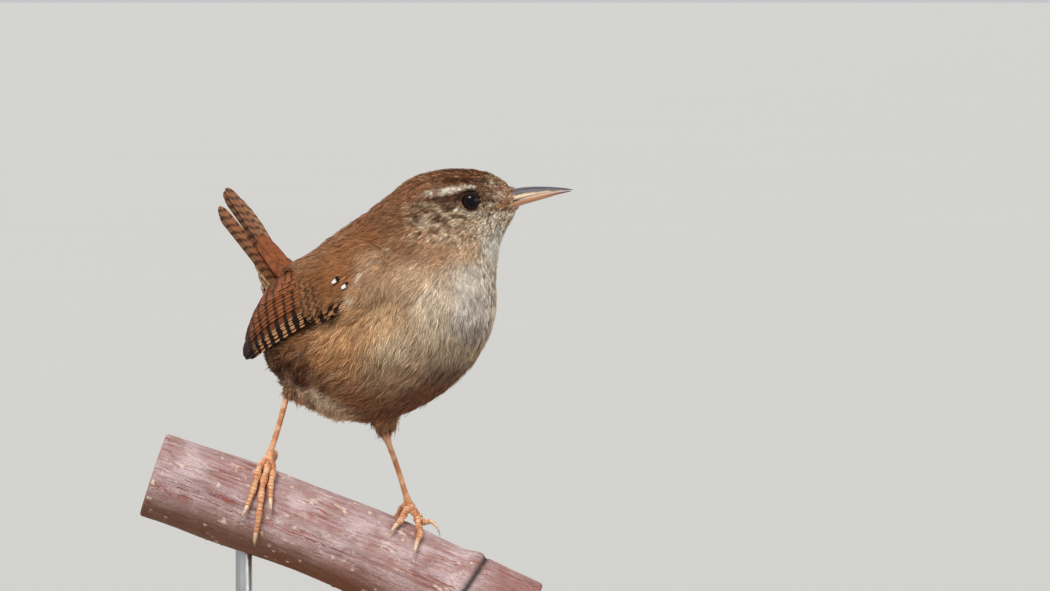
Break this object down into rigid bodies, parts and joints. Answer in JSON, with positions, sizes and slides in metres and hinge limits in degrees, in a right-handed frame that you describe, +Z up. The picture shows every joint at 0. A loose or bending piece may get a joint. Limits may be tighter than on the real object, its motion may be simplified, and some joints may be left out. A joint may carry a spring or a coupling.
{
  "type": "perched wren model",
  "caption": "Life-size still model of a small barred brown wren with a cocked tail, gripping a short cut length of branch on a round display stand.",
  "frame": {"origin": "centre of the underside of the round base", "axes": "+X is the way the bird's body faces, +Y is its left side, +Z is up"},
  "size_m": [0.0955, 0.088, 0.1206],
  "materials": {
    "plumage": "soft matt feathers",
    "barred_feathers": "smooth matt feather vanes with dark bars",
    "bill_horn": "smooth horn",
    "eye": "wet gloss",
    "leg_skin": "fine scaly skin",
    "claw_horn": "pale horn",
    "bark": "dry fissured bark",
    "base_wood": "dark oiled wood",
    "rod_steel": "satin"
  },
  "bodies": {
    "root": {"head": "plumage", "neck": "plumage", "torso": "plumage", "wing_left": "barred_feathers", "wing_right": "barred_feathers", "tail": "barred_feathers", "thigh_left": "plumage", "thigh_right": "plumage", "bill_upper": "bill_horn", "bill_lower": "bill_horn", "eye_left": "eye", "eye_right": "eye", "tarsus_left": "leg_skin", "tarsus_right": "leg_skin", "foot_left": "leg_skin", "foot_right": "leg_skin", "claw_left_1": "claw_horn", "claw_left_2": "claw_horn", "claw_left_3": "claw_horn", "claw_left_4": "claw_horn", "claw_right_1": "claw_horn", "claw_right_2": "claw_horn", "claw_right_3": "claw_horn", "claw_right_4": "claw_horn", "perch": "bark", "stand_base": "base_wood", "stand_rod_1": "rod_steel", "stand_rod_2": "rod_steel"}
  },
  "joints": []
}
